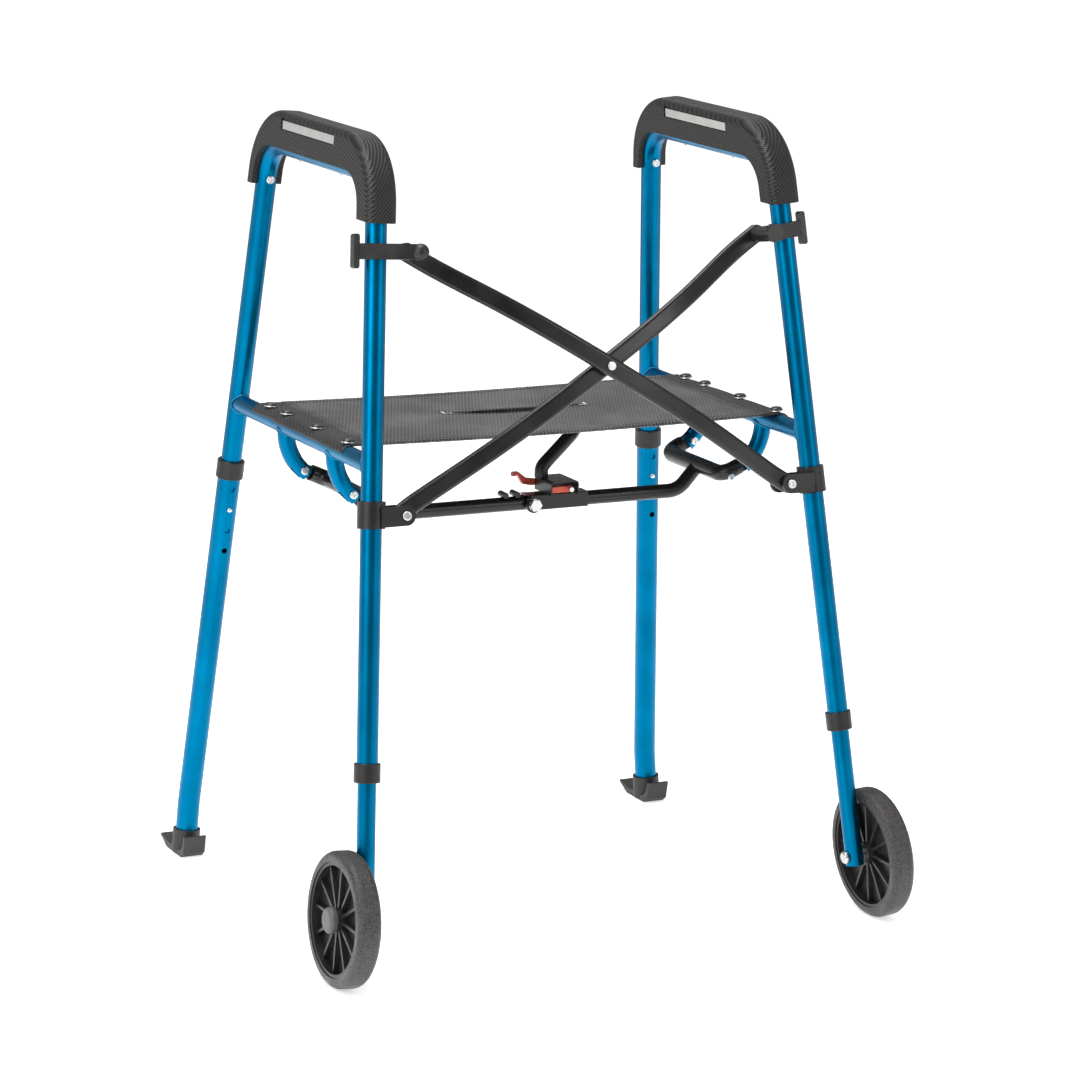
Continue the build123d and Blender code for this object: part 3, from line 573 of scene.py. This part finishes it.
def make_piece(
    mesh: bmesh.types.BMesh,
    name: str,
    slot: str,
    body: str,
    wardrobe: Wardrobe,
) -> bpy.types.Object:
    """Turn a bmesh into a finished piece on a body.

    Args:
        mesh: The geometry, in frame coordinates.
        name: Name of the piece.
        slot: Finish slot.
        body: CAD body the piece rides on.
        wardrobe: Where finishes come from.

    Returns:
        The new object.
    """
    bmesh.ops.remove_doubles(mesh, verts=mesh.verts, dist=1e-6)
    bmesh.ops.recalc_face_normals(mesh, faces=mesh.faces)
    for face in mesh.faces:
        face.smooth = True
    data = bpy.data.meshes.new(name)
    mesh.to_mesh(data)
    mesh.free()
    piece = bpy.data.objects.new(name, data)
    bpy.context.scene.collection.objects.link(piece)
    data.materials.append(wardrobe.get(slot))
    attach(piece, body)
    LOG.info("built %s on %s", name, body)
    return piece


def join_into(target: bmesh.types.BMesh, source: bmesh.types.BMesh) -> None:
    """Copy one bmesh into another and free it."""
    scratch = bpy.data.meshes.new("scratch")
    source.to_mesh(scratch)
    source.free()
    target.from_mesh(scratch)
    bpy.data.meshes.remove(scratch)


def spun_profile(points: Iterable[tuple[float, float]], steps: int = 32) -> bmesh.types.BMesh:
    """Spin a closed outline of (radius, height) points about Z.

    Args:
        points: Corners of the outline, in order.
        steps: Steps round the turn.

    Returns:
        A ring-shaped bmesh.
    """
    mesh = bmesh.new()
    verts = [mesh.verts.new((radius, 0.0, height)) for radius, height in points]
    edges = [mesh.edges.new((verts[i - 1], verts[i])) for i in range(len(verts))]
    bmesh.ops.spin(
        mesh, geom=verts + edges, cent=(0, 0, 0), axis=(0, 0, 1), dvec=(0, 0, 0),
        angle=2 * math.pi, steps=steps, use_merge=True, use_duplicate=False,
    )
    bmesh.ops.recalc_face_normals(mesh, faces=mesh.faces)
    return mesh


def bead_ring(
    radius: float,
    bead: float,
    lift: Callable[[float, float], float],
    ripples: int = 26,
    ripple: float = 0.14,
) -> bmesh.types.BMesh:
    """Weld bead: a rippled ring about Z whose height follows what it is laid on.

    Args:
        radius: Radius of the ring.
        bead: Radius of the bead.
        lift: Height of the seat at a point (x, y) of the ring.
        ripples: Number of weld ripples round the ring.
        ripple: Depth of a ripple as a share of the bead.

    Returns:
        The bead as a bmesh.
    """
    count = 10
    turn = 2 * math.pi / count
    outline = [(radius + bead * math.cos(i * turn), bead * math.sin(i * turn)) for i in range(count)]
    mesh = spun_profile(outline, ripples * 4)
    for vert in mesh.verts:
        angle = math.atan2(vert.co.y, vert.co.x)
        core = Vector((radius * math.cos(angle), radius * math.sin(angle), 0.0))
        swell = 1.0 + ripple * math.sin(ripples * angle)
        vert.co = core + (vert.co - core) * swell
        vert.co.z += lift(core.x, core.y)
    return mesh


# Sub-assemblies ------------------------------------------------------------------
@dataclass
class Welds:
    """Weld beads of the seat rails and the hangers."""

    wardrobe: Wardrobe
    bead: float = 0.0017
    hanger_radius: float = 0.010
    hanger_places: tuple[float, float] = (-0.081, 0.061)

    def rail_end(self, side: Side, front: bool) -> bmesh.types.BMesh:
        """Bead where a rail is coped to a leg.

        Args:
            side: Side frame.
            front: True for the front leg.

        Returns:
            The bead in frame coordinates.
        """
        rake = STANCE.front_rake if front else STANCE.rear_rake
        sense = 1.0 if front else -1.0

        def seat(across: float, rise: float) -> float:
            reach = math.sqrt(max(STANCE.tube_radius ** 2 - across ** 2, 0.0))
            return sense * reach * math.hypot(1.0, rake) + rake * rise

        mesh = bead_ring(STANCE.rail_radius + 0.0004, self.bead, seat)
        y = STANCE.leg_y(front, STANCE.rail_height)
        lay = Matrix(((1, 0, 0, 0), (0, 0, 1, y), (0, 1, 0, STANCE.rail_height), (0, 0, 0, 1)))
        bmesh.ops.transform(mesh, matrix=STANCE.matrix(side) @ lay, verts=mesh.verts)
        return mesh

    def hanger_top(self, side: Side, y: float) -> bmesh.types.BMesh:
        """Bead where a hanger meets the underside of the rail."""
        def seat(across: float, _along: float) -> float:
            return -math.sqrt(max(STANCE.rail_radius ** 2 - across ** 2, 0.0))

        mesh = bead_ring(self.hanger_radius, self.bead, seat)
        move = Matrix.Translation((0, y, STANCE.rail_height))
        bmesh.ops.transform(mesh, matrix=STANCE.matrix(side) @ move, verts=mesh.verts)
        return mesh

    def build(self) -> None:
        """Beads of both side frames, one piece a side."""
        for side in Side:
            whole = bmesh.new()
            for front in (True, False):
                join_into(whole, self.rail_end(side, front))
            for y in self.hanger_places:
                join_into(whole, self.hanger_top(side, y))
            make_piece(whole, f"weld_beads_{side.label}", "weld_blue",
                       f"{side.label}_frame", self.wardrobe)


@dataclass
class SlingSeat:
    """Woven sling stretched between the rails, with hems, bands, rivets and stitching."""

    wardrobe: Wardrobe
    front: float = -0.124 + STANCE.middle
    rear: float = 0.136 + STANCE.middle
    seam: float = 0.2475
    thickness: float = 0.0022
    rail_gap: float = 0.0004
    sag: float = 0.0035
    belly: float = 0.0022
    fold_depth: float = 0.0007
    folds_per_metre: float = 26.0
    pinch_depth: float = 0.0009
    pinch_radius: float = 0.016
    pinch_reach: float = 0.03
    slot_half: float = 0.090
    slot_y: float = 0.025 + STANCE.middle
    slot_gap: float = 0.0008
    lip_drop: float = 0.0038
    lip_rise: float = 0.0016
    lip_reach: float = 0.016
    band_thickness: float = 0.0024
    welt_width: float = 0.0062
    welt_height: float = 0.0013
    welt_thickness: float = 0.0008
    hem_width: float = 0.0085
    hem_height: float = 0.0046
    facing_depth: float = 0.010
    stitch_pitch: float = 0.0042
    rivet_places: tuple[float, ...] = (-0.1153, -0.0269, 0.0615, 0.1109)
    band_segments: int = 14

    def rail(self) -> Vector:
        """Top line of the right rail."""
        return STANCE.rail_top()

    def height(self, x: float, y: float) -> float:
        """Height of the middle of the cloth: shallow sag, tension folds, open slot.

        Args:
            x: Place across the frame.
            y: Place from front to rear.

        Returns:
            Height above the floor.
        """
        rail = self.rail()
        share = min(abs(x) / rail.x, 1.0)
        z = rail.z + self.rail_gap + self.thickness / 2 - self.sag * (1.0 - share ** 2)
        pull = math.sin(math.pi * (y - self.front) / (self.rear - self.front))
        z -= self.belly * pull * math.cos(math.pi * x / (2 * rail.x)) ** 2
        fold = math.sin(self.folds_per_metre * (y - self.front) * (1.0 + 0.35 * x) + 9.0 * x)
        z += self.fold_depth * fold * (1.0 - share ** 6) * pull
        pinch = 1.0
        edge = (abs(x) - rail.x) / self.pinch_reach
        for place in self.rivet_places:
            gap = (y - place - STANCE.middle) / self.pinch_radius
            pinch *= 1.0 - math.exp(-gap * gap)
        z -= self.pinch_depth * (1.0 - pinch) * math.exp(-edge * edge)
        return z + self.slot_lip(x, y)

    def slot_lip(self, x: float, y: float) -> float:
        """Sag of the cloth in front of the slot and lift behind it."""
        along = abs(x) / (self.slot_half * 1.15)
        if along >= 1.0:
            return 0.0
        bow = math.cos(along * math.pi / 2) ** 1.5
        across = (y - self.slot_y) / self.lip_reach
        fade = math.exp(-across * across)
        return bow * fade * (-self.lip_drop if y < self.slot_y else self.lip_rise)

    def panel_mesh(self) -> bmesh.types.BMesh:
        """Panel between the side seams, cut for the slot, in frame coordinates."""
        mesh = bmesh.new()
        bmesh.ops.create_grid(mesh, x_segments=100, y_segments=52, size=0.5)
        width = 2 * (self.seam + 0.001)
        depth = self.rear - self.front
        centre = (self.front + self.rear) / 2
        place = Matrix.Translation((0, centre, 0)) @ Matrix.Diagonal((width, depth, 1, 1))
        bmesh.ops.transform(mesh, matrix=place, verts=mesh.verts)
        cuts = [((0, self.slot_y + s * self.slot_gap, 0), (0, 1, 0)) for s in (-1, 1)]
        cuts += [((s * self.slot_half, 0, 0), (1, 0, 0)) for s in (-1, 1)]
        for point, normal in cuts:
            geom = mesh.verts[:] + mesh.edges[:] + mesh.faces[:]
            bmesh.ops.bisect_plane(mesh, geom=geom, plane_co=point, plane_no=normal)
        inside = [f for f in mesh.faces if self.in_slot(f.calc_center_median())]
        bmesh.ops.delete(mesh, geom=inside, context="FACES")
        for vert in mesh.verts:
            vert.co.z = self.height(vert.co.x, vert.co.y)
            gape = (vert.co.y - self.slot_y) / 0.02
            if abs(vert.co.x) < self.slot_half:
                open_by = 0.0004 * math.cos(vert.co.x / self.slot_half * math.pi / 2)
                vert.co.y += math.copysign(open_by * math.exp(-gape * gape), gape)
        return mesh

    def in_slot(self, point: Vector) -> bool:
        """Whether a point is inside the slot's cut."""
        return abs(point.x) < self.slot_half and abs(point.y - self.slot_y) < self.slot_gap

    def solidify(self, piece: bpy.types.Object, thickness: float) -> None:
        """Give a cloth piece its thickness, about its middle."""
        wall = piece.modifiers.new("thickness", "SOLIDIFY")
        wall.thickness = thickness
        wall.offset = 0.0

    def band(self, side: Side) -> bmesh.types.BMesh:
        """Doubled band from the side seam over the rail and down its outer side.

        Args:
            side: Side frame.

        Returns:
            A grid of one thickness, to be solidified.
        """
        rail = self.rail()
        radius = STANCE.rail_radius + self.rail_gap + self.band_thickness / 2
        mesh = bmesh.new()
        bmesh.ops.create_grid(mesh, x_segments=self.band_segments * 2, y_segments=56, size=0.5)
        for vert in mesh.verts:
            t = vert.co.x + 0.5
            y = self.front + (vert.co.y + 0.5) * (self.rear - self.front)
            flat = rail.x - self.seam
            reach = t * (flat + radius * 1.25)
            if reach <= flat:
                x = self.seam + reach
                z = self.height(x, y)
            else:
                angle = (reach - flat) / radius
                x = rail.x + radius * math.sin(angle)
                z = self.height(rail.x, y) - radius * (1 - math.cos(angle))
                x += 0.0012 * math.sin(60 * y + 1.3 * side.value) * math.sin(angle)
            vert.co = Vector((side.value * x, y, z))
        return mesh

    def hem(self, y: float, height: float) -> bmesh.types.BMesh:
        """Rolled hem along the front or rear edge, between the side seams.

        Args:
            y: Middle of the hem.
            height: Thickness of the roll.

        Returns:
            The hem in frame coordinates.
        """
        mesh = bmesh.new()
        length = 2 * (self.seam + 0.0008)
        bmesh.ops.create_cone(mesh, cap_ends=True, cap_tris=False, segments=20,
                              radius1=0.5, radius2=0.5, depth=1.0)
        lay = Matrix.Diagonal((length, self.hem_width, height, 1)) @ Matrix.Rotation(math.pi / 2, 4, "Y")
        bmesh.ops.transform(mesh, matrix=lay, verts=mesh.verts)
        cuts = 72
        for i in range(1, cuts):
            geom = mesh.verts[:] + mesh.edges[:] + mesh.faces[:]
            at = (-length / 2 + length * i / cuts, 0, 0)
            bmesh.ops.bisect_plane(mesh, geom=geom, plane_co=at, plane_no=(1, 0, 0))
        for vert in mesh.verts:
            base = self.height(vert.co.x, y)
            pucker = 1.0 + 0.06 * math.sin(vert.co.x * 2 * math.pi / 0.013)
            vert.co.y = y + vert.co.y * pucker
            vert.co.z = base + vert.co.z * pucker
        return mesh

    def stitch(self, at: Vector, along: Vector, length: float) -> bmesh.types.BMesh:
        """One lockstitch: a small rounded bar of thread sunk at both ends.

        Args:
            at: Middle of the stitch.
            along: Direction of the seam.
            length: Length of the stitch.

        Returns:
            The stitch in frame coordinates.
        """
        mesh = bmesh.new()
        bmesh.ops.create_icosphere(mesh, subdivisions=1, radius=1.0)
        turn = along.to_track_quat("X", "Z").to_matrix().to_4x4()
        shape = Matrix.Diagonal((length / 2, 0.00042, 0.00042, 1))
        place = Matrix.Translation(at) @ turn @ shape
        bmesh.ops.transform(mesh, matrix=place, verts=mesh.verts)
        return mesh

    def seam_line(self, start: Vector, end: Vector, lift: float) -> bmesh.types.BMesh:
        """A straight row of stitches lying on the cloth.

        Args:
            start: First end of the row, in plan.
            end: Other end.
            lift: Height above the middle of the cloth.

        Returns:
            All its stitches.
        """
        whole = bmesh.new()
        run = end - start
        count = int(run.length / self.stitch_pitch)
        for i in range(count):
            here = start + run * ((i + 0.5) / count)
            at = Vector((here.x, here.y, self.height(here.x, here.y) + lift))
            join_into(whole, self.stitch(at, run.normalized(), self.stitch_pitch * 0.78))
        return whole

    def stitching(self) -> bmesh.types.BMesh:
        """Rows along both hems and twin rows along both side seams."""
        whole = bmesh.new()
        lift = self.thickness / 2 + 0.0002
        for y in (self.front + self.hem_width + 0.0015, self.rear - self.hem_width - 0.0015):
            join_into(whole, self.seam_line(Vector((-self.seam, y, 0)), Vector((self.seam, y, 0)), lift))
        for x in (self.seam - 0.0035, self.seam - 0.0085):
            for side in Side:
                start = Vector((side.value * x, self.front + 0.004, 0))
                end = Vector((side.value * x, self.rear - 0.004, 0))
                join_into(whole, self.seam_line(start, end, lift))
        return whole

    def slot_binding(self) -> bmesh.types.BMesh:
        """Turned edge of the slot: a narrow welt round its mouth."""
        mesh = bmesh.new()
        lip = 0.0006
        for sense in (-1, 1):
            strip = bmesh.new()
            bmesh.ops.create_grid(strip, x_segments=60, y_segments=6, size=0.5)
            for vert in strip.verts:
                x = vert.co.x * 2 * (self.slot_half + 0.004)
                t = vert.co.y + 0.5
                share = min(abs(x) / self.slot_half, 1.0)
                mouth = 0.0004 * math.cos(share * math.pi / 2)
                y = self.slot_y + sense * (lip + mouth + self.welt_width * t)
                z = self.height(x, self.slot_y + sense * (lip + self.welt_width * t)) + 0.0005
                z += self.welt_height * math.sin(math.pi * t)
                vert.co = Vector((x, y, z))
            join_into(mesh, strip)
        join_into(mesh, self.facing())
        return mesh

    def facing(self) -> bmesh.types.BMesh:
        """Turned-down facing behind the rear lip of the slot."""
        mesh = bmesh.new()
        bmesh.ops.create_grid(mesh, x_segments=60, y_segments=8, size=0.5)
        for vert in mesh.verts:
            x = vert.co.x * 2 * self.slot_half
            drop = vert.co.y + 0.5
            share = min(abs(x) / self.slot_half, 1.0)
            y = self.slot_y + 0.0016 + 0.0012 * math.sin(math.pi * drop)
            z = self.height(x, self.slot_y + self.slot_gap)
            z -= self.facing_depth * drop * math.cos(share * 1.2)
            vert.co = Vector((x, y, z))
        return mesh

    def bartacks(self) -> bmesh.types.BMesh:
        """Bars of white thread across the two ends of the slot, with a tail to the slot."""
        whole = bmesh.new()
        lift = self.thickness / 2 + 0.0009
        for side in Side:
            x = side.value * (self.slot_half + 0.0014)
            for i in range(9):
                y = self.slot_y + (i - 4) * 0.0012
                at = Vector((x, y, self.height(x, y) + lift))
                join_into(whole, self.stitch(at, Vector((1, 0.1, 0)), 0.0034))
            for i in range(3):
                tail = x - side.value * 0.004 * i
                at = Vector((tail, self.slot_y - 0.0052, self.height(tail, self.slot_y) + lift))
                join_into(whole, self.stitch(at, Vector((1, 0, 0)), 0.0042))
        return whole

    def rivet_cups(self, side: Side) -> bmesh.types.BMesh:
        """Bright cup washers under the rivet heads of one side.

        Args:
            side: Side frame.

        Returns:
            The washers in frame coordinates.
        """
        whole = bmesh.new()
        base = STANCE.rail_height + STANCE.rail_radius + self.rail_gap + self.band_thickness
        outline = [(0.0055, 0.0), (0.0078, 0.0), (0.0082, 0.0005), (0.0078, 0.0012),
                   (0.0069, 0.0014), (0.0055, 0.0009)]
        for place in self.rivet_places:
            cup = spun_profile(outline)
            move = STANCE.matrix(side) @ Matrix.Translation((0, place, base))
            bmesh.ops.transform(cup, matrix=move, verts=cup.verts)
            join_into(whole, cup)
        return whole

    def build(self) -> None:
        """Build and dress the whole seat."""
        panel = make_piece(self.panel_mesh(), "sling_panel", "sling_fabric",
                           "left_frame", self.wardrobe)
        self.solidify(panel, self.thickness)
        moving = [panel]
        for name, y in (("front", self.front + self.hem_width / 2 - 0.001),
                        ("rear", self.rear - self.hem_width / 2 + 0.001)):
            mesh = self.hem(y, self.hem_height)
            moving.append(make_piece(mesh, f"sling_hem_{name}", "sling_fabric",
                                     "left_frame", self.wardrobe))
        moving.append(make_piece(self.stitching(), "sling_stitches", "black_thread",
                                 "left_frame", self.wardrobe))
        binding = make_piece(self.slot_binding(), "sling_slot_welt", "sling_fabric",
                             "left_frame", self.wardrobe)
        self.solidify(binding, self.welt_thickness)
        moving.append(binding)
        tacks = make_piece(self.bartacks(), "sling_bartacks", "white_thread",
                           "left_frame", self.wardrobe)
        moving.append(tacks)
        for piece in moving:
            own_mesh(piece)
        for side in Side:
            body = f"{side.label}_frame"
            # The bands take the darker copy of the sling cloth, which is painted shade.
            band = make_piece(self.band(side), f"sling_band_{side.label}", "doubled_sling_fabric_painted_shade",
                              body, self.wardrobe)
            self.solidify(band, self.band_thickness)
            make_piece(self.rivet_cups(side), f"rivet_cups_{side.label}", "zinc_plated_steel",
                       body, self.wardrobe)
        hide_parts("seat_sling")
        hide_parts("seat_bartacks")


@dataclass
class Studio:
    """Plain pale floor, soft lights and the camera."""

    lens: float = 136.44
    place: tuple[float, float, float] = (-2.0335, -4.19565, 1.4701)
    azimuth: float = math.radians(-26.07)
    elevation: float = math.radians(12.659)
    roll: float = math.radians(1.135)
    floor_colour: str = "#FFFFFF"
    floor_half: float = 60.0
    floor_glow: float = 0.52
    surround: float = 0.55
    flag_colour: str = "#6E6E6E"
    flag_height: float = 2.4
    flag_middle: float = 0.9
    lights: list[tuple[str, tuple, tuple, float, float]] = field(default_factory=lambda: [
        ("key", (-1.9, -0.9, 1.5), (1.1, 1.8), 22.0, 0.45),
        ("fill", (1.6, -2.4, 1.6), (0.9, 1.6), 14.0, 0.5),
        ("top", (-0.4, 0.3, 3.0), (2.6, 1.6), 70.0, 0.4),
    ])

    def camera(self) -> None:
        """Long lens from the front left, slightly above."""
        data = bpy.data.cameras.new("camera")
        data.lens = self.lens
        data.sensor_width = 36.0
        camera = bpy.data.objects.new("camera", data)
        sin_a, cos_a = math.sin(self.azimuth), math.cos(self.azimuth)
        sin_e, cos_e = math.sin(self.elevation), math.cos(self.elevation)
        back = Vector((sin_a * cos_e, -cos_a * cos_e, sin_e))
        right = Vector((cos_a, sin_a, 0.0))
        upward = back.cross(right)
        turned = right * math.cos(self.roll) + upward * math.sin(self.roll)
        upward = upward * math.cos(self.roll) - right * math.sin(self.roll)
        turn = Matrix((turned, upward, back)).transposed().to_4x4()
        camera.matrix_world = Matrix.Translation(self.place) @ turn
        bpy.context.scene.collection.objects.link(camera)
        bpy.context.scene.camera = camera

    def floor(self) -> None:
        """Wide pale floor."""
        mesh = bmesh.new()
        bmesh.ops.create_grid(mesh, x_segments=1, y_segments=1, size=self.floor_half)
        data = bpy.data.meshes.new("floor")
        mesh.to_mesh(data)
        mesh.free()
        plane = bpy.data.objects.new("floor", data)
        bpy.context.scene.collection.objects.link(plane)
        material, tree = blank_material("matt_painted_floor")
        finish_shader(tree, {"Base Color": linear(self.floor_colour), "Roughness": 0.9,
                             "Specular IOR Level": 0.1,
                             "Emission Color": linear(self.floor_colour),
                             "Emission Strength": self.floor_glow}, {})
        data.materials.append(material)

    def flags(self) -> None:
        """Grey cards beside the set, seen only in reflections, that shade the tubes' edges."""
        places = [((-0.53, -2.13), 1.7), ((0.9, 1.85), 4.2)]
        material, tree = blank_material("grey_flag_cloth")
        finish_shader(tree, {"Base Color": linear(self.flag_colour), "Roughness": 1.0}, {})
        for i, ((x, y), width) in enumerate(places):
            mesh = bmesh.new()
            bmesh.ops.create_grid(mesh, x_segments=1, y_segments=1, size=0.5)
            facing = Matrix.Rotation(math.atan2(y, x) + math.pi / 2, 4, "Z")
            stand = Matrix.Rotation(math.pi / 2, 4, "X") @ Matrix.Diagonal((width, self.flag_height, 1, 1))
            place = Matrix.Translation((x, y, self.flag_middle)) @ facing @ stand
            bmesh.ops.transform(mesh, matrix=place, verts=mesh.verts)
            data = bpy.data.meshes.new(f"flag_{i}")
            mesh.to_mesh(data)
            mesh.free()
            data.materials.append(material)
            card = bpy.data.objects.new(f"flag_{i}", data)
            bpy.context.scene.collection.objects.link(card)
            card.visible_camera = False
            card.visible_shadow = False
            card.visible_diffuse = False

    def light(self) -> None:
        """Three soft boxes and an even pale surround."""
        for name, place, size, power, aim_height in self.lights:
            data = bpy.data.lights.new(name, "AREA")
            data.shape = "RECTANGLE"
            data.size, data.size_y = size
            data.energy = power
            lamp = bpy.data.objects.new(name, data)
            lamp.location = place
            lamp.visible_camera = False
            aim = Vector((0, 0, aim_height)) - Vector(place)
            lamp.rotation_euler = aim.to_track_quat("-Z", "Y").to_euler()
            bpy.context.scene.collection.objects.link(lamp)
        world = bpy.data.worlds.new("studio")
        world.use_nodes = True
        world.node_tree.nodes["Background"].inputs[0].default_value = linear("#FFFFFF")
        world.node_tree.nodes["Background"].inputs[1].default_value = self.surround
        bpy.context.scene.world = world

    def build(self) -> None:
        """Set up the whole studio."""
        self.camera()
        self.floor()
        self.flags()
        self.light()
        view = bpy.context.scene.view_settings
        view.view_transform = "Standard"
        view.look = "None"


def main() -> None:
    """Build every sub-assembly round the CAD frame, then the studio."""
    logging.basicConfig(level=logging.INFO, format="%(name)s: %(message)s")
    wardrobe = Wardrobe()
    Studio().build()
    wardrobe.dress_cad()
    Welds(wardrobe).build()
    SlingSeat(wardrobe).build()


if __name__ == "__main__":
    main()
